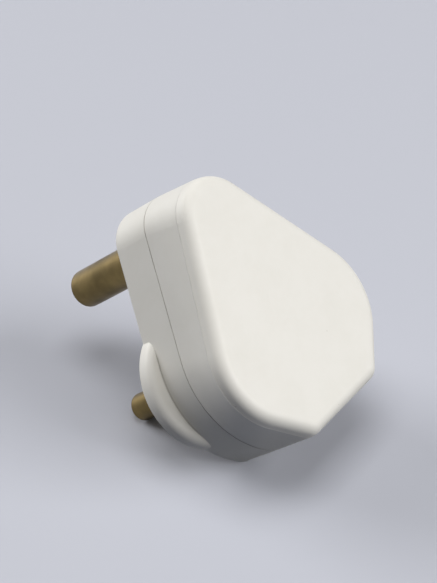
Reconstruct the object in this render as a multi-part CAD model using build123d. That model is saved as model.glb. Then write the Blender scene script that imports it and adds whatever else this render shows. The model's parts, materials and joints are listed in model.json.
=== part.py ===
from build123d import *
from collections import namedtuple
from math import acos, asin, atan2, degrees, hypot, tan
import os

# Round pin mains plug of the 5 A pattern, to be wired by its user: a waisted two-part moulding, three turned
# brass pins with pillar terminals, a cord grip at the flat end and one screw that holds the halves together.
# Modelling frame: X across, Y from the flat cord end to the earth end, Z from the pin face to the cover.
# At the end the plug is laid down on its two small pins and the pin face edge of its flat end.

# Pins
small_pin_d = 5.08
small_pin_length = 14.86
small_pin_spacing = 19.05
earth_pin_d = 7.06
earth_pin_length = 20.63
earth_pin_offset = 22.23
pin_tip_round = 0.7

# Body
body_length = 46.8
body_height = 21.0
parting_height = 9.2
flat_end_half_width = 9.7
flat_corner_round = 3.0
earth_pin_to_nose = 8.07
wall = 2.2
floor_thickness = 3.2
roof_thickness = 2.4
pin_face_round = 1.0

# Parting outline, which the base keeps all the way down
base_shoulder_x = 21.2
base_shoulder_y = 10.5
base_shoulder_round = 18.4
base_nose_round = 7.0

# Fine shadow line that the base leaves open below the cover
joint_line_width = 0.16
joint_line_depth = 0.5

# Outline of the cover at its mould line, wider at the shoulders
cover_shoulder_x = 22.8
cover_shoulder_y = 13.4
cover_shoulder_round = 13.2
cover_nose_round = 8.2
cover_nose_setback = 0.5

# Rim of the cover above the mould line, which leans inward to leave its half of the mould
rim_height = 2.7
rim_lean = 0.4
rim_round = 2.0

# Finger guard at the pin face, one lobe on each side of the pin row
guard_half_width = 20.1
guard_round = 12.4
guard_height = 3.3
guard_top_round = 1.4
guard_bottom_chamfer = 0.5

# Tongue of the cover in the rebate of the base
tongue_depth = 1.2
tongue_gap = 0.1

# Pillar terminals
neck_depth = 0.5
collar_cover = 1.2
collar_thickness = 1.6
collar_margin = 1.5
pin_boss_margin = 1.2
pin_boss_height = 1.4
terminal_height = 6.0
small_terminal_d = 6.4
earth_terminal_d = 7.6
wire_hole_d = 2.8

# Screws
thread_gap = 0.05
slot_width = 0.8
terminal_screw_d = 2.9
terminal_screw_head_d = 5.0
terminal_screw_head_height = 1.7
cover_screw_d = 3.8
cover_screw_head_d = 6.6
cover_screw_head_height = 2.4
cover_screw_head_depth = 0.6
cover_screw_reach = 6.0
cover_screw_offset = 10.0
screw_hole_gap = 0.2
screw_head_gap = 0.4
screw_boss_wall = 1.6

# Threaded insert in the cover and retaining washer in the base
insert_wall = 0.8
insert_length = 7.5
washer_wall = 1.5
washer_thickness = 0.8
washer_gap = 0.1

# Cord entry and cord grip
cord_d = 7.5
clamp_end_gap = 1.0
clamp_post_d = 5.2
clamp_post_rise = 0.8
clamp_bar_width = 4.2
clamp_bar_thickness = 2.2
clamp_screw_d = 2.9
clamp_screw_head_d = 5.0
clamp_screw_head_height = 1.7
clamp_screw_length = 9.0
clamp_saddle_length = 3.0
clamp_saddle_gap = 0.4

# Places that follow from the sizes above
earth_pin_y = body_length - earth_pin_to_nose
pin_row_y = earth_pin_y - earth_pin_offset
small_pin_x = small_pin_spacing / 2
cover_screw_y = pin_row_y + cover_screw_offset
roof_z = body_height - roof_thickness
mould_line_z = body_height - rim_height
terminal_z = floor_thickness + pin_boss_height
terminal_top_z = terminal_z + terminal_height
wire_z = terminal_z + terminal_height / 3
screw_seat_z = cover_screw_head_depth + cover_screw_head_height
screw_boss_d = cover_screw_head_d + 2 * (screw_head_gap + screw_boss_wall)
clamp_y = wall + clamp_end_gap + clamp_post_d / 2
clamp_post_x = (cord_d + clamp_post_d) / 2 + clamp_saddle_gap
cord_z = parting_height
clamp_bar_z = parting_height + clamp_post_rise

Outline = namedtuple("Outline", "shoulder_x shoulder_y shoulder_round nose_round length")
base_outline = Outline(
    base_shoulder_x, base_shoulder_y, base_shoulder_round, base_nose_round, body_length
)
cover_outline = Outline(
    cover_shoulder_x,
    cover_shoulder_y,
    cover_shoulder_round,
    cover_nose_round,
    body_length - cover_nose_setback,
)


def nose_apex(form):
    """Y where the two straight sides, tangent to the round nose, would meet on the centre line."""
    nose_y = form.length - form.nose_round
    reach = hypot(form.shoulder_x, nose_y - form.shoulder_y)
    slope = atan2(nose_y - form.shoulder_y, form.shoulder_x) + asin(form.nose_round / reach)
    return form.shoulder_y + form.shoulder_x * tan(slope)


def outline_corners(form):
    """Corners of the shield, counter-clockwise from the right end of its flat side."""
    right = [Vector(flat_end_half_width, 0), Vector(form.shoulder_x, form.shoulder_y)]
    left = [Vector(-corner.X, corner.Y) for corner in reversed(right)]
    return right + [Vector(0, nose_apex(form))] + left


def inset_corners(corners, inset):
    """The same corners after every side has moved inward by inset."""
    moved = []
    for i, corner in enumerate(corners):
        arriving = (corner - corners[i - 1]).normalized()
        leaving = (corners[(i + 1) % len(corners)] - corner).normalized()
        turn = arriving.cross(leaving).Z
        moved.append(corner + (leaving - arriving) * (inset / turn))
    return moved


def shield(form, z, inset=0.0):
    """Shield-shaped face at height z, with its rounds concentric at any inset."""
    corners = inset_corners(outline_corners(form), inset)
    flat = flat_corner_round - inset
    shoulder = form.shoulder_round - inset
    rounds = [flat, shoulder, form.nose_round - inset, shoulder, flat]
    return Pos(0, 0, z) * make_face(FilletPolyline(*corners, radius=rounds, close=True))


def disc(d, low, high, x=0.0, y=0.0):
    """Upright cylinder from low to high."""
    return Pos(x, y, low) * extrude(Circle(d / 2), high - low)


def block(x_size, y_size, low, high, x=0.0, y=0.0):
    """Upright block from low to high, centred in plan."""
    return Pos(x, y, low) * extrude(Rectangle(x_size, y_size), high - low)


def cord_hole():
    """Round room for the cord through the flat end, half of it in each moulding."""
    return Pos(0, wall, cord_z) * Rot(X=90) * extrude(Circle(cord_d / 2), 2 * wall)


def screw(d, length, head_d, head_height):
    """Slotted cheese-head screw, its head standing on z = 0 and its shank below."""
    head = disc(head_d, 0, head_height)
    head = chamfer(head.edges().group_by(Axis.Z)[-1], head_height / 6)
    head -= block(2 * head_d, slot_width, head_height / 2, 2 * head_height)
    return head + disc(d, -length, 0)


def turned_pin(d, length, terminal_d):
    """Brass pin on the Z axis: round shank up to the pin face, necked root, hexagonal collar that stops it
    turning in the moulding, pillar terminal."""
    collar = RegularPolygon(d / 2 + collar_margin, 6)
    pin = disc(d, -length, 0)
    pin = fillet(pin.edges().group_by(Axis.Z)[0], pin_tip_round)
    pin += disc(d - 2 * neck_depth, 0, terminal_z)
    pin += Pos(0, 0, collar_cover) * extrude(collar, collar_thickness)
    pin += disc(terminal_d, terminal_z, terminal_top_z)
    pin -= Pos(0, 0, wire_z) * Rot(X=90) * Cylinder(wire_hole_d / 2, 2 * terminal_d)
    pin -= disc(terminal_screw_d + 2 * thread_gap, wire_z, terminal_top_z)
    return pin


def pin_boss(d):
    """Raised seat of the base round a pin's root."""
    return disc(d + 2 * (collar_margin + pin_boss_margin), 0, terminal_z)


def guard_lobe(side):
    """One round lobe of the finger guard, rounded above and bevelled below."""
    lobe = disc(2 * guard_round, 0, guard_height)
    lobe = fillet(lobe.edges().group_by(Axis.Z)[-1], guard_top_round)
    lobe = chamfer(lobe.edges().group_by(Axis.Z)[0], guard_bottom_chamfer)
    return Pos(side * (guard_half_width - guard_round), pin_row_y, 0) * lobe


# Pins, in their places
small_pin = turned_pin(small_pin_d, small_pin_length, small_terminal_d)
pin_places = {
    "line": Pos(small_pin_x, pin_row_y, 0),
    "neutral": Pos(-small_pin_x, pin_row_y, 0),
    "earth": Pos(0, earth_pin_y, 0),
}
pins = {
    "line": pin_places["line"] * small_pin,
    "neutral": pin_places["neutral"] * small_pin,
    "earth": pin_places["earth"] * turned_pin(earth_pin_d, earth_pin_length, earth_terminal_d),
}
pin_diameters = {"line": small_pin_d, "neutral": small_pin_d, "earth": earth_pin_d}

# Base: a tray with rounded pin face, finger guard, pin bosses, screw pillar and cord grip posts
base = extrude(shield(base_outline, 0), parting_height)
base = fillet(base.edges().group_by(Axis.Z)[0], pin_face_round)
base += [guard_lobe(side) for side in (-1, 1)]
base -= extrude(shield(base_outline, floor_thickness, wall), body_height)
rebate_z = parting_height - tongue_depth - tongue_gap
base -= extrude(shield(base_outline, rebate_z, wall / 2), body_height)
joint_line_z = parting_height - joint_line_width
joint_line = extrude(shield(base_outline, joint_line_z), joint_line_width)
base -= joint_line - extrude(shield(base_outline, joint_line_z, joint_line_depth), joint_line_width)
base += [pin_places[name] * pin_boss(d) for name, d in pin_diameters.items()]
base += disc(screw_boss_d, 0, parting_height, 0, cover_screw_y)
base -= disc(cover_screw_head_d + 2 * screw_head_gap, 0, screw_seat_z, 0, cover_screw_y)
base -= disc(cover_screw_d + 2 * screw_hole_gap, 0, parting_height, 0, cover_screw_y)
washer_d = cover_screw_d + 2 * (thread_gap + washer_wall)
washer_z = parting_height - washer_thickness - washer_gap
base -= disc(washer_d + 2 * washer_gap, washer_z, body_height, 0, cover_screw_y)
for side in (-1, 1):
    base += disc(clamp_post_d, floor_thickness, clamp_bar_z, side * clamp_post_x, clamp_y)
saddle_z = cord_z - cord_d / 2 - clamp_saddle_gap
base += block(2 * clamp_post_x, clamp_saddle_length, floor_thickness, saddle_z, 0, clamp_y)
clamp_hole_z = clamp_bar_z + clamp_bar_thickness - clamp_screw_length - clamp_saddle_gap
for side in (-1, 1):
    hole_d = clamp_screw_d + 2 * thread_gap
    base -= disc(hole_d, clamp_hole_z, body_height, side * clamp_post_x, clamp_y)
base -= cord_hole()
for pin in pins.values():
    base -= pin

# Cover: walls that flare in straight lines from the parting outline to the mould line, then a rim that leans
# back in, with a soft edge; its room is straight, so that the mould's core can leave through the parting side
cover = loft([shield(base_outline, parting_height), shield(cover_outline, mould_line_z)], ruled=True)
rim_draft = degrees(atan2(rim_lean, rim_height))
rim = extrude(shield(cover_outline, mould_line_z), rim_height, taper=rim_draft)
cover += fillet(rim.edges().group_by(Axis.Z)[-1], rim_round)
cover -= extrude(shield(base_outline, parting_height, wall), roof_z - parting_height)
tongue = extrude(shield(base_outline, parting_height, wall / 2 + tongue_gap), -tongue_depth)
cover += tongue - extrude(shield(base_outline, 0, wall), parting_height)
cover += disc(screw_boss_d, parting_height, roof_z, 0, cover_screw_y)
insert_d = cover_screw_d + 2 * (thread_gap + insert_wall)
cover -= disc(insert_d, parting_height, parting_height + insert_length, 0, cover_screw_y)
cover -= cord_hole()

# Brass insert in the cover's screw boss, and the fibre washer that keeps the screw in the base
insert = disc(insert_d, parting_height, parting_height + insert_length, 0, cover_screw_y)
insert -= disc(cover_screw_d + 2 * thread_gap, 0, body_height, 0, cover_screw_y)
washer = disc(washer_d, washer_z, washer_z + washer_thickness, 0, cover_screw_y)
washer -= disc(cover_screw_d + 2 * thread_gap, 0, body_height, 0, cover_screw_y)

# Screws: one through the pin face into the insert, one on each terminal
cover_screw_length = parting_height - screw_seat_z + cover_screw_reach
cover_screw = screw(cover_screw_d, cover_screw_length, cover_screw_head_d, cover_screw_head_height)
cover_screw = Pos(0, cover_screw_y, screw_seat_z) * Rot(X=180) * cover_screw
terminal_screw = screw(
    terminal_screw_d, terminal_top_z - wire_z, terminal_screw_head_d, terminal_screw_head_height
)

# Cord grip: a bar across two posts, with a screw in each
clamp_bar_length = 2 * clamp_post_x + clamp_post_d
clamp_bar = block(
    clamp_bar_length, clamp_bar_width, clamp_bar_z, clamp_bar_z + clamp_bar_thickness, 0, clamp_y
)
clamp_bar = fillet(clamp_bar.edges().filter_by(Axis.Z), clamp_bar_width / 3)
for side in (-1, 1):
    clamp_bar -= disc(clamp_screw_d + 2 * thread_gap, 0, body_height, side * clamp_post_x, clamp_y)
clamp_screw = screw(clamp_screw_d, clamp_screw_length, clamp_screw_head_d, clamp_screw_head_height)

pieces = {
    "base": base,
    "cover": cover,
    "cover_screw": cover_screw,
    "cover_insert": insert,
    "screw_retaining_washer": washer,
    "cord_clamp_bar": clamp_bar,
}
for name, place in pin_places.items():
    pieces[name + "_pin"] = pins[name]
    pieces[name + "_terminal_screw"] = place * Pos(0, 0, terminal_top_z) * terminal_screw
for name, side in (("left", -1), ("right", 1)):
    place = Pos(side * clamp_post_x, clamp_y, clamp_bar_z + clamp_bar_thickness)
    pieces["cord_clamp_screw_" + name] = place * clamp_screw

# Rest: the floor touches the round of the flat end's pin face edge and the round of the small pins' tips
edge_y = pin_face_round
edge_z = pin_face_round
tip_y = pin_row_y - small_pin_d / 2 + pin_tip_round
tip_z = pin_tip_round - small_pin_length
span = hypot(edge_y - tip_y, edge_z - tip_z)
floor_normal = atan2(edge_z - tip_z, edge_y - tip_y) - acos((pin_face_round - pin_tip_round) / span)
tilt = Rot(X=90 - degrees(floor_normal))
box = Compound([tilt * piece for piece in pieces.values()]).bounding_box()
rest = Pos(-box.center().X, -box.center().Y, -box.min.Z) * tilt

os.makedirs("parts", exist_ok=True)
for name, piece in pieces.items():
    export_step(rest * piece, os.path.join("parts", name + ".step"))
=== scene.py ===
"""Finishes a round pin mains plug: white moulding, brass pins, screws and fibre, on a pale floor."""

import json
import math

import bpy
import numpy as np
from bpy.props import FloatProperty, FloatVectorProperty, PointerProperty
from mathutils import Matrix, Vector


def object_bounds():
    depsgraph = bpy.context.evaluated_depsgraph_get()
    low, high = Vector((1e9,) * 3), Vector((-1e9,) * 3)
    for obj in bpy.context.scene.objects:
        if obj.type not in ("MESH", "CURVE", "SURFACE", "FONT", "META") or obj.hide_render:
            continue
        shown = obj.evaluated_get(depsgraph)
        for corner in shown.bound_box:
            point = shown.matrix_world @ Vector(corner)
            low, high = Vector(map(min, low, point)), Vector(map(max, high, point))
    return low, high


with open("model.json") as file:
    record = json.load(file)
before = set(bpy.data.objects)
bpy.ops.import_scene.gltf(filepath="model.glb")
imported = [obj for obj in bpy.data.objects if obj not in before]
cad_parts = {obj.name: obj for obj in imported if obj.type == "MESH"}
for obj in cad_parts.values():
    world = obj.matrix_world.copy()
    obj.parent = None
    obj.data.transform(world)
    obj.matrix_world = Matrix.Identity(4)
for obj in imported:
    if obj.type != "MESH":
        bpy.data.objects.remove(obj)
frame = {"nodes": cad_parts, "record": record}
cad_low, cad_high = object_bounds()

bl_info = {
    "name": "Round Pin Plug Finish",
    "version": (1, 0, 0),
    "blender": (4, 5, 0),
    "location": "3D View > Sidebar > Plug",
    "description": "Finishes a moulded mains plug with round brass pins and lights it on a pale floor",
    "category": "Object",
}

MM = 0.001

MOULDING_NODES = ("base", "cover")
BRASS_NODES = (
    "line_pin",
    "neutral_pin",
    "earth_pin",
    "line_terminal_screw",
    "neutral_terminal_screw",
    "earth_terminal_screw",
    "cover_insert",
)
STEEL_NODES = ("cover_screw", "cord_clamp_screw_left", "cord_clamp_screw_right")
FIBRE_NODES = ("cord_clamp_bar", "screw_retaining_washer")

MOUNTS = {mount["name"]: mount for mount in frame["record"]["mounts"]}
PIN_AXIS = Vector(MOUNTS["earth_pin"]["axis"]).normalized()
# The plug lies tilted about X, so this turn brings the pins upright, tips down.
PIN_TILT = math.atan2(PIN_AXIS.y, -PIN_AXIS.z)
# Height of the pin face along the pins, in the object's coordinates turned upright.
PIN_FACE_HEIGHT = (
    MOUNTS["earth_pin"]["dims"]["length_mm"] * MM / 2 - PIN_AXIS.dot(Vector(MOUNTS["earth_pin"]["pos_m"]))
)
# The base and the cover meet at a fine groove, whose middle is this far above the pin face.
JOINT_HEIGHT = 9.12 * MM
# The mould's halves met where the cover's wall ends and its rim begins.
MOULD_LINE_HEIGHT = 18.3 * MM
# Shares of the floor's width, from its middle: the paint is whole up to the first and gone at the second.
FLOOR_WHOLE = 0.15
FLOOR_GONE = 0.5
# The camera shows nothing nearer than this.
NEAR_LIMIT = 10 * MM
# Sockets of a Mix node for colours: its amount, the colours it goes from and to, and its result.
MIX_AMOUNT = 0
MIX_FROM = 6
MIX_TO = 7
MIX_RESULT = 2


def linear(hex_colour):
    """Turns an sRGB hex colour into linear red, green and blue."""
    channels = np.array([int(hex_colour[i : i + 2], 16) for i in (1, 3, 5)]) / 255
    low = channels / 12.92
    high = ((channels + 0.055) / 1.055) ** 2.4
    return tuple(float(c) for c in np.where(channels <= 0.04045, low, high))


def colour(name, description, hex_colour):
    """A colour that the user can pick."""
    return FloatVectorProperty(
        name=name,
        description=description,
        subtype="COLOR",
        size=3,
        min=0,
        max=1,
        default=linear(hex_colour),
    )


class PlugFinish(bpy.types.PropertyGroup):
    """Colours and surface of the plug's materials."""

    moulding: colour("Moulding", "Warm white of the two moulded halves", "#F0EDE5")
    moulding_cloud: colour("Moulding Cloud", "Slightly greyer white where the resin flowed", "#ECE9E0")
    moulding_speck: colour("Moulding Speck", "Dust pressed into the skin", "#B9B1A4")
    # This colour is also painted shade: ambient occlusion darkens the moulding's creases and corners
    # towards it.
    moulding_dust_and_crease_shade: colour("Moulding Dust", "Dust in the joint line and the creases", "#B3AEA4")
    brass: colour("Brass", "Bare brass that has dulled to olive brown", "#8A774C")
    brass_dull: colour("Brass Tarnish", "Darker tarnish on the brass", "#6C5D3A")
    steel: colour("Steel", "Zinc plated steel", "#BFC1C2")
    steel_dull: colour("Steel Bloom", "Greyer bloom on the plating", "#9B9D9C")
    fibre: colour("Fibre", "Red brown pressed fibre", "#7A3B2E")
    fibre_dark: colour("Fibre Fleck", "Darker flecks in the fibre", "#552A22")


class PlugView(bpy.types.PropertyGroup):
    """Where the camera stands."""

    azimuth: FloatProperty(
        name="Azimuth",
        description="Turn of the camera about the vertical, from the plug's front",
        subtype="ANGLE",
        default=math.radians(-55.43),
    )
    elevation: FloatProperty(
        name="Elevation",
        description="How far the camera looks down",
        subtype="ANGLE",
        default=math.radians(36.91),
    )
    distance: FloatProperty(
        name="Distance",
        description="From the camera to the point it aims at",
        unit="LENGTH",
        default=306.1 * MM,
    )
    aim: FloatVectorProperty(
        name="Aim",
        description="The point at the centre of the picture",
        subtype="XYZ",
        unit="LENGTH",
        default=(1.8 * MM, -1.43 * MM, 24.4 * MM),
    )
    lens: FloatProperty(
        name="Lens",
        description="Focal length on a 36 mm sensor",
        unit="CAMERA",
        default=108.95,
    )


class PlugStage(bpy.types.PropertyGroup):
    """Floor and light."""

    floor: colour("Floor", "Pale floor", "#C5C7D0")
    floor_bounce: colour("Floor Bounce", "Darker tone of the light that the floor throws back", "#50545F")
    wall: colour("Wall", "Pale studio wall beyond the floor", "#C8CAD3")
    floor_width: FloatProperty(
        name="Floor Width",
        description="Side of the square floor",
        unit="LENGTH",
        default=1.7,
    )
    key_power: FloatProperty(
        name="Key Power",
        description="Power of the softbox in front, which lights the cover",
        subtype="POWER",
        default=17.8,
    )
    key_direction: FloatVectorProperty(
        name="Key Direction",
        description="Where the key softbox hangs, seen from the plug",
        subtype="DIRECTION",
        default=(0.2, -0.8, 0.55),
    )
    top_power: FloatProperty(
        name="Top Power",
        description="Power of the softbox overhead, which lights the walls and the floor",
        subtype="POWER",
        default=11.8,
    )
    top_direction: FloatVectorProperty(
        name="Top Direction",
        description="Where the top softbox hangs, seen from the plug",
        subtype="DIRECTION",
        default=(-0.05, 0.0, 1.0),
    )
    back_power: FloatProperty(
        name="Back Power",
        description="Power of the low softbox behind, which lights the nose and the tops of the pins",
        subtype="POWER",
        default=17.6,
    )
    back_direction: FloatVectorProperty(
        name="Back Direction",
        description="Where the back softbox hangs, seen from the plug",
        subtype="DIRECTION",
        default=(-0.1, 0.91, 0.4),
    )
    softbox_distance: FloatProperty(
        name="Softbox Distance",
        description="From the plug to each softbox",
        unit="LENGTH",
        default=1.6,
    )
    softbox_width: FloatProperty(
        name="Softbox Width",
        description="Side of each square softbox",
        unit="LENGTH",
        default=1.0,
    )
    fill: FloatProperty(
        name="Fill",
        description="Strength of the even light from all round",
        min=0,
        max=1,
        default=0.01,
    )


def add(tree, kind, settings=(), inputs=()):
    """Adds a shader node with its settings, and sets or links its inputs."""
    node = tree.nodes.new("ShaderNode" + kind)
    for name, value in dict(settings).items():
        setattr(node, name, value)
    for name, value in dict(inputs).items():
        if isinstance(value, bpy.types.NodeSocket):
            tree.links.new(value, node.inputs[name])
        else:
            node.inputs[name].default_value = value
    return node


def blank_material(name):
    """A new material with an empty node tree."""
    material = bpy.data.materials.new(name)
    material.use_nodes = True
    material.node_tree.nodes.clear()
    return material, material.node_tree


def opaque(rgb):
    """A linear colour with full alpha, as sockets take it."""
    return (*rgb, 1.0)


def give(nodes, material):
    """Puts one material into every slot of the named CAD nodes."""
    for name in nodes:
        slots = frame["nodes"][name].material_slots
        for slot in slots:
            slot.material = material


def off_level(tree, height, level):
    """How far a height is from a level, above it or below."""
    above = add(tree, "Math", {"operation": "SUBTRACT"}, {0: height, 1: level})
    apart = add(tree, "Math", {"operation": "ABSOLUTE"}, {0: above.outputs["Value"]})
    return apart.outputs["Value"]


def moulded_urea(finish):
    """Urea resin pressed in a polished mould: a dense warm white with a satin skin, faint flow clouds, a
    fine orange peel, the thin raised line where the mould's halves met, and a few dark specks. Dust of use
    greys the joint line, and shade is painted into the creases where ambient occlusion finds them."""
    material, tree = blank_material("urea_resin_moulded_white")
    place = add(tree, "TexCoord").outputs["Object"]
    cloud_size = 9 * MM
    clouds = add(
        tree,
        "TexNoise",
        inputs={"Vector": place, "Scale": 1 / cloud_size, "Detail": 4.0, "Roughness": 0.7},
    )
    cloud_amount = add(
        tree,
        "MapRange",
        inputs={"Value": clouds.outputs["Fac"], "From Min": 0.4, "From Max": 0.75},
    )
    clouded = add(
        tree,
        "Mix",
        {"data_type": "RGBA"},
        {
            MIX_AMOUNT: cloud_amount.outputs["Result"],
            MIX_FROM: opaque(finish.moulding),
            MIX_TO: opaque(finish.moulding_cloud),
        },
    )
    speck_spacing = 6 * MM
    speck_radius = 0.12 * MM
    speck_core = 0.5 * speck_radius
    cells = add(tree, "TexVoronoi", inputs={"Vector": place, "Scale": 1 / speck_spacing})
    speck = add(
        tree,
        "MapRange",
        inputs={
            "Value": cells.outputs["Distance"],
            "From Min": speck_radius / speck_spacing,
            "From Max": speck_core / speck_spacing,
        },
    )
    flecked = add(
        tree,
        "Mix",
        {"data_type": "RGBA"},
        {
            MIX_AMOUNT: speck.outputs["Result"],
            MIX_FROM: clouded.outputs[MIX_RESULT],
            MIX_TO: opaque(finish.moulding_speck),
        },
    )
    upright = add(tree, "Mapping", inputs={"Vector": place, "Rotation": (-PIN_TILT, 0.0, 0.0)})
    height = add(tree, "SeparateXYZ", inputs={"Vector": upright.outputs["Vector"]}).outputs["Z"]
    dust_patch_size = 6 * MM
    dust_patches = add(tree, "TexNoise", inputs={"Vector": place, "Scale": 1 / dust_patch_size})
    most_dust = add(
        tree,
        "MapRange",
        inputs={
            "Value": dust_patches.outputs["Fac"],
            "From Min": 0.35,
            "From Max": 0.65,
            "To Min": 0.3,
            "To Max": 0.85,
        },
    )
    dust_half_width = 0.16 * MM
    dust_core = 0.3 * dust_half_width
    joint_dust = add(
        tree,
        "MapRange",
        {"interpolation_type": "SMOOTHSTEP"},
        {
            "Value": off_level(tree, height, PIN_FACE_HEIGHT + JOINT_HEIGHT),
            "From Min": dust_half_width,
            "From Max": dust_core,
            "To Max": most_dust.outputs["Result"],
        },
    )
    # Painted shade: where ambient occlusion finds a crease or a corner, the colour is darkened, so the
    # shade there is painted into the moulding's colour.
    crease_reach = 0.6 * MM
    shelter = add(
        tree,
        "AmbientOcclusion",
        {"samples": 8, "only_local": True},
        {"Distance": crease_reach},
    )
    painted_crease_shade = add(
        tree,
        "MapRange",
        inputs={"Value": shelter.outputs["AO"], "From Min": 0.8, "From Max": 0.5, "To Max": 0.7},
    )
    # The dusty joint line or the painted crease shade, whichever is stronger.
    joint_dust_and_crease_shade = add(
        tree,
        "Math",
        {"operation": "MAXIMUM"},
        {0: joint_dust.outputs["Result"], 1: painted_crease_shade.outputs["Result"]},
    )
    dusted_and_shaded = add(
        tree,
        "Mix",
        {"data_type": "RGBA"},
        {
            MIX_AMOUNT: joint_dust_and_crease_shade.outputs["Value"],
            MIX_FROM: flecked.outputs[MIX_RESULT],
            MIX_TO: opaque(finish.moulding_dust_and_crease_shade),
        },
    )
    peel_size = 0.9 * MM
    peel_depth = 0.02 * MM
    peel = add(tree, "TexNoise", inputs={"Vector": place, "Scale": 1 / peel_size, "Detail": 2.0})
    rippled = add(
        tree,
        "Bump",
        inputs={"Strength": 0.12, "Distance": peel_depth, "Height": peel.outputs["Fac"]},
    )
    flash_half_width = 0.16 * MM
    flash_height = 0.07 * MM
    flash = add(
        tree,
        "MapRange",
        {"interpolation_type": "SMOOTHSTEP"},
        {
            "Value": off_level(tree, height, PIN_FACE_HEIGHT + MOULD_LINE_HEIGHT),
            "From Min": flash_half_width,
            "From Max": 0.0,
        },
    )
    bump = add(
        tree,
        "Bump",
        inputs={
            "Strength": 1.0,
            "Distance": flash_height,
            "Height": flash.outputs["Result"],
            "Normal": rippled.outputs["Normal"],
        },
    )
    roughness = add(
        tree,
        "MapRange",
        inputs={"Value": clouds.outputs["Fac"], "To Min": 0.46, "To Max": 0.58},
    )
    surface = add(
        tree,
        "BsdfPrincipled",
        inputs={
            "Base Color": dusted_and_shaded.outputs[MIX_RESULT],
            "Roughness": roughness.outputs["Result"],
            "IOR": 1.56,
            "Normal": bump.outputs["Normal"],
        },
    )
    add(tree, "OutputMaterial", inputs={"Surface": surface.outputs["BSDF"]})
    return material


def turned_brass(finish):
    """Free cutting brass, turned and left bare: a satin shine with fine rings from the tool, dulled here
    and there by a soft olive tarnish."""
    material, tree = blank_material("brass_turned_dulled")
    place = add(tree, "TexCoord").outputs["Object"]
    # Tool rings are really about 0.1 mm apart, and are drawn at 0.3 mm so that they show.
    ring_pitch = 0.3 * MM
    ring_depth = 0.02 * MM
    ring_stretch = 50 * MM
    upright = add(tree, "Mapping", inputs={"Vector": place, "Rotation": (-PIN_TILT, 0.0, 0.0)})
    along = add(
        tree,
        "Mapping",
        inputs={
            "Vector": upright.outputs["Vector"],
            "Scale": (1 / ring_stretch, 1 / ring_stretch, 1 / ring_pitch),
        },
    )
    rings = add(tree, "TexNoise", inputs={"Vector": along.outputs["Vector"], "Scale": 1.0, "Detail": 1.0})
    tarnish_size = 5 * MM
    tarnish = add(tree, "TexNoise", inputs={"Vector": place, "Scale": 1 / tarnish_size, "Detail": 3.0})
    dullness = add(
        tree,
        "MapRange",
        inputs={"Value": tarnish.outputs["Fac"], "From Min": 0.35, "From Max": 0.7},
    )
    shade = add(
        tree,
        "Mix",
        {"data_type": "RGBA"},
        {
            MIX_AMOUNT: dullness.outputs["Result"],
            MIX_FROM: opaque(finish.brass),
            MIX_TO: opaque(finish.brass_dull),
        },
    )
    roughness = add(
        tree,
        "MapRange",
        inputs={"Value": dullness.outputs["Result"], "To Min": 0.31, "To Max": 0.4},
    )
    bump = add(
        tree,
        "Bump",
        inputs={"Strength": 0.15, "Distance": ring_depth, "Height": rings.outputs["Fac"]},
    )
    surface = add(
        tree,
        "BsdfPrincipled",
        inputs={
            "Base Color": shade.outputs[MIX_RESULT],
            "Metallic": 1.0,
            "Roughness": roughness.outputs["Result"],
            "Normal": bump.outputs["Normal"],
        },
    )
    add(tree, "OutputMaterial", inputs={"Surface": surface.outputs["BSDF"]})
    return material


def plated_steel(finish):
    """Zinc plated steel: a cool grey shine with a patchy bloom and a fine grain."""
    material, tree = blank_material("steel_zinc_plated")
    place = add(tree, "TexCoord").outputs["Object"]
    bloom_size = 1.2 * MM
    bloom = add(tree, "TexNoise", inputs={"Vector": place, "Scale": 1 / bloom_size, "Detail": 4.0})
    shade = add(
        tree,
        "Mix",
        {"data_type": "RGBA"},
        {
            MIX_AMOUNT: bloom.outputs["Fac"],
            MIX_FROM: opaque(finish.steel),
            MIX_TO: opaque(finish.steel_dull),
        },
    )
    grain_size = 0.15 * MM
    grain_depth = 0.01 * MM
    grain = add(tree, "TexNoise", inputs={"Vector": place, "Scale": 1 / grain_size, "Detail": 2.0})
    bump = add(
        tree,
        "Bump",
        inputs={"Strength": 0.2, "Distance": grain_depth, "Height": grain.outputs["Fac"]},
    )
    roughness = add(
        tree,
        "MapRange",
        inputs={"Value": bloom.outputs["Fac"], "To Min": 0.24, "To Max": 0.44},
    )
    surface = add(
        tree,
        "BsdfPrincipled",
        inputs={
            "Base Color": shade.outputs[MIX_RESULT],
            "Metallic": 1.0,
            "Roughness": roughness.outputs["Result"],
            "Normal": bump.outputs["Normal"],
        },
    )
    add(tree, "OutputMaterial", inputs={"Surface": surface.outputs["BSDF"]})
    return material


def pressed_fibre(finish):
    """Vulcanised fibre, pressed in sheets and cut: a dry red brown with short darker flecks."""
    material, tree = blank_material("vulcanised_fibre_pressed")
    place = add(tree, "TexCoord").outputs["Object"]
    fleck_size = 0.5 * MM
    fleck_depth = 0.02 * MM
    flecks = add(tree, "TexNoise", inputs={"Vector": place, "Scale": 1 / fleck_size, "Detail": 4.0})
    amount = add(
        tree,
        "MapRange",
        inputs={"Value": flecks.outputs["Fac"], "From Min": 0.4, "From Max": 0.7},
    )
    shade = add(
        tree,
        "Mix",
        {"data_type": "RGBA"},
        {
            MIX_AMOUNT: amount.outputs["Result"],
            MIX_FROM: opaque(finish.fibre),
            MIX_TO: opaque(finish.fibre_dark),
        },
    )
    bump = add(
        tree,
        "Bump",
        inputs={"Strength": 0.3, "Distance": fleck_depth, "Height": flecks.outputs["Fac"]},
    )
    surface = add(
        tree,
        "BsdfPrincipled",
        inputs={
            "Base Color": shade.outputs[MIX_RESULT],
            "Roughness": 0.68,
            "IOR": 1.5,
            "Normal": bump.outputs["Normal"],
        },
    )
    add(tree, "OutputMaterial", inputs={"Surface": surface.outputs["BSDF"]})
    return material


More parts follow.
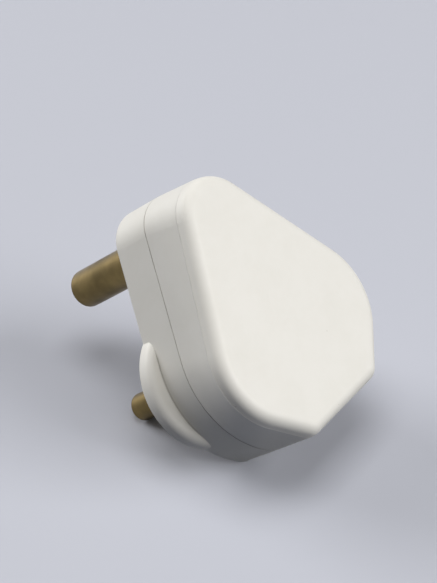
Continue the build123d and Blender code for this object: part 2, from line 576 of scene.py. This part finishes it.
def seen_rays(tree):
    """One for rays from the camera and off or through shiny surfaces, and zero for the rest."""
    rays = add(tree, "LightPath")
    shiny = add(
        tree,
        "Math",
        {"operation": "MAXIMUM"},
        {0: rays.outputs["Is Glossy Ray"], 1: rays.outputs["Is Transmission Ray"]},
    )
    seen = add(
        tree,
        "Math",
        {"operation": "MAXIMUM"},
        {0: rays.outputs["Is Camera Ray"], 1: shiny.outputs["Value"]},
    )
    return seen.outputs["Value"]


def painted_floor(stage):
    """Matt paint on a board: one even pale colour, which fades out far from the plug to leave no hard
    horizon. The light that it throws back is darker than it looks, so that the plug's low walls keep their
    shade."""
    material, tree = blank_material("floor_matt_paint")
    place = add(tree, "TexCoord")
    reach = add(tree, "VectorMath", {"operation": "LENGTH"}, {0: place.outputs["Object"]})
    fade = add(
        tree,
        "MapRange",
        {"interpolation_type": "SMOOTHSTEP"},
        {
            "Value": reach.outputs["Value"],
            "From Min": FLOOR_WHOLE * stage.floor_width,
            "From Max": FLOOR_GONE * stage.floor_width,
        },
    )
    shade = add(
        tree,
        "Mix",
        {"data_type": "RGBA"},
        {
            MIX_AMOUNT: seen_rays(tree),
            MIX_FROM: opaque(stage.floor_bounce),
            MIX_TO: opaque(stage.floor),
        },
    )
    paint = add(
        tree,
        "BsdfPrincipled",
        inputs={"Base Color": shade.outputs[MIX_RESULT], "Roughness": 0.9, "IOR": 1.4},
    )
    gone = add(tree, "BsdfTransparent")
    surface = add(
        tree,
        "MixShader",
        inputs={0: fade.outputs["Result"], 1: paint.outputs["BSDF"], 2: gone.outputs["BSDF"]},
    )
    add(tree, "OutputMaterial", inputs={"Surface": surface.outputs["Shader"]})
    return material


def even_light(stage):
    """A world that gives a little even light, and that the camera and shiny surfaces see as a pale wall."""
    world = bpy.data.worlds.new("pale_studio")
    world.use_nodes = True
    tree = world.node_tree
    tree.nodes.clear()
    light = add(tree, "Background", inputs={"Color": (1.0, 1.0, 1.0, 1.0), "Strength": stage.fill})
    wall = add(tree, "Background", inputs={"Color": opaque(stage.wall), "Strength": 1.0})
    either = add(
        tree,
        "MixShader",
        inputs={0: seen_rays(tree), 1: light.outputs["Background"], 2: wall.outputs["Background"]},
    )
    add(tree, "OutputWorld", inputs={"Surface": either.outputs["Shader"]})
    return world


def floor_sheet(width, material):
    """A flat square at the height of the plug's lowest point: corners at plus and minus half the width."""
    corners = np.array([(-1, -1), (1, -1), (1, 1), (-1, 1)]) * width / 2
    points = np.column_stack([corners, np.full(len(corners), cad_low.z)])
    mesh = bpy.data.meshes.new("floor")
    mesh.from_pydata(points.tolist(), [], [(0, 1, 2, 3)])
    mesh.materials.append(material)
    floor = bpy.data.objects.new("floor", mesh)
    bpy.context.scene.collection.objects.link(floor)
    return floor


def softbox(name, power, direction, stage):
    """A square softbox that faces the plug from the given direction."""
    lamp = bpy.data.lights.new(name, "AREA")
    lamp.energy = power
    lamp.size = stage.softbox_width
    light = bpy.data.objects.new(name, lamp)
    away = Vector(direction).normalized()
    middle = (cad_low + cad_high) / 2
    light.matrix_world = Matrix.Translation(middle + away * stage.softbox_distance) @ (
        away.to_track_quat("Z", "Y").to_matrix().to_4x4()
    )
    bpy.context.scene.collection.objects.link(light)


def stand_camera(view):
    """A camera at an azimuth and an elevation about the point that it aims at."""
    turn, rise = view.azimuth, view.elevation
    back = Vector((math.sin(turn) * math.cos(rise), -math.cos(turn) * math.cos(rise), math.sin(rise)))
    right = Vector((math.cos(turn), math.sin(turn), 0.0))
    up = back.cross(right)
    lens = bpy.data.cameras.new("camera")
    lens.lens = view.lens
    lens.clip_start = NEAR_LIMIT
    camera = bpy.data.objects.new("camera", lens)
    camera.matrix_world = Matrix.Translation(Vector(view.aim) + back * view.distance) @ Matrix(
        (right, up, back)
    ).transposed().to_4x4()
    bpy.context.scene.collection.objects.link(camera)
    bpy.context.scene.camera = camera


class PLUG_OT_moulding(bpy.types.Operator):
    """Finishes the base and the cover as white mouldings."""

    bl_idname = "plug.moulding"
    bl_label = "Finish Moulding"

    def execute(self, context):
        give(MOULDING_NODES, moulded_urea(context.scene.plug_finish))
        return {"FINISHED"}


class PLUG_OT_brass(bpy.types.Operator):
    """Finishes the three pins, their terminal screws and the insert as turned brass."""

    bl_idname = "plug.brass"
    bl_label = "Finish Brass"

    def execute(self, context):
        give(BRASS_NODES, turned_brass(context.scene.plug_finish))
        return {"FINISHED"}


class PLUG_OT_screws(bpy.types.Operator):
    """Finishes the cover screw and the cord clamp screws as plated steel."""

    bl_idname = "plug.screws"
    bl_label = "Finish Screws"

    def execute(self, context):
        give(STEEL_NODES, plated_steel(context.scene.plug_finish))
        return {"FINISHED"}


class PLUG_OT_fibre(bpy.types.Operator):
    """Finishes the cord clamp bar and the washer as pressed fibre."""

    bl_idname = "plug.fibre"
    bl_label = "Finish Fibre"

    def execute(self, context):
        give(FIBRE_NODES, pressed_fibre(context.scene.plug_finish))
        return {"FINISHED"}


class PLUG_OT_stage(bpy.types.Operator):
    """Lays the floor and sets the light and the camera."""

    bl_idname = "plug.stage"
    bl_label = "Set Stage"

    def execute(self, context):
        scene = context.scene
        stage = scene.plug_stage
        floor_sheet(stage.floor_width, painted_floor(stage))
        softbox("key_softbox", stage.key_power, stage.key_direction, stage)
        softbox("top_softbox", stage.top_power, stage.top_direction, stage)
        softbox("back_softbox", stage.back_power, stage.back_direction, stage)
        scene.world = even_light(stage)
        stand_camera(scene.plug_view)
        scene.view_settings.view_transform = "Standard"
        return {"FINISHED"}


OPERATORS = (PLUG_OT_moulding, PLUG_OT_brass, PLUG_OT_screws, PLUG_OT_fibre, PLUG_OT_stage)
GROUPS = {"plug_finish": PlugFinish, "plug_view": PlugView, "plug_stage": PlugStage}


class PLUG_PT_panel(bpy.types.Panel):
    """Lists the plug's steps and settings."""

    bl_idname = "PLUG_PT_panel"
    bl_label = "Round Pin Plug"
    bl_space_type = "VIEW_3D"
    bl_region_type = "UI"
    bl_category = "Plug"

    def draw(self, context):
        for operator in OPERATORS:
            self.layout.operator(operator.bl_idname)
        for name, group in GROUPS.items():
            box = self.layout.box()
            for field in group.__annotations__:
                box.prop(getattr(context.scene, name), field)


CLASSES = (*GROUPS.values(), *OPERATORS, PLUG_PT_panel)


def register():
    for cls in CLASSES:
        bpy.utils.register_class(cls)
    for name, group in GROUPS.items():
        setattr(bpy.types.Scene, name, PointerProperty(type=group))


def unregister():
    for name in GROUPS:
        delattr(bpy.types.Scene, name)
    for cls in reversed(CLASSES):
        bpy.utils.unregister_class(cls)


def main():
    register()
    bpy.ops.plug.moulding()
    bpy.ops.plug.brass()
    bpy.ops.plug.screws()
    bpy.ops.plug.fibre()
    bpy.ops.plug.stage()


if __name__ == "__main__":
    main()
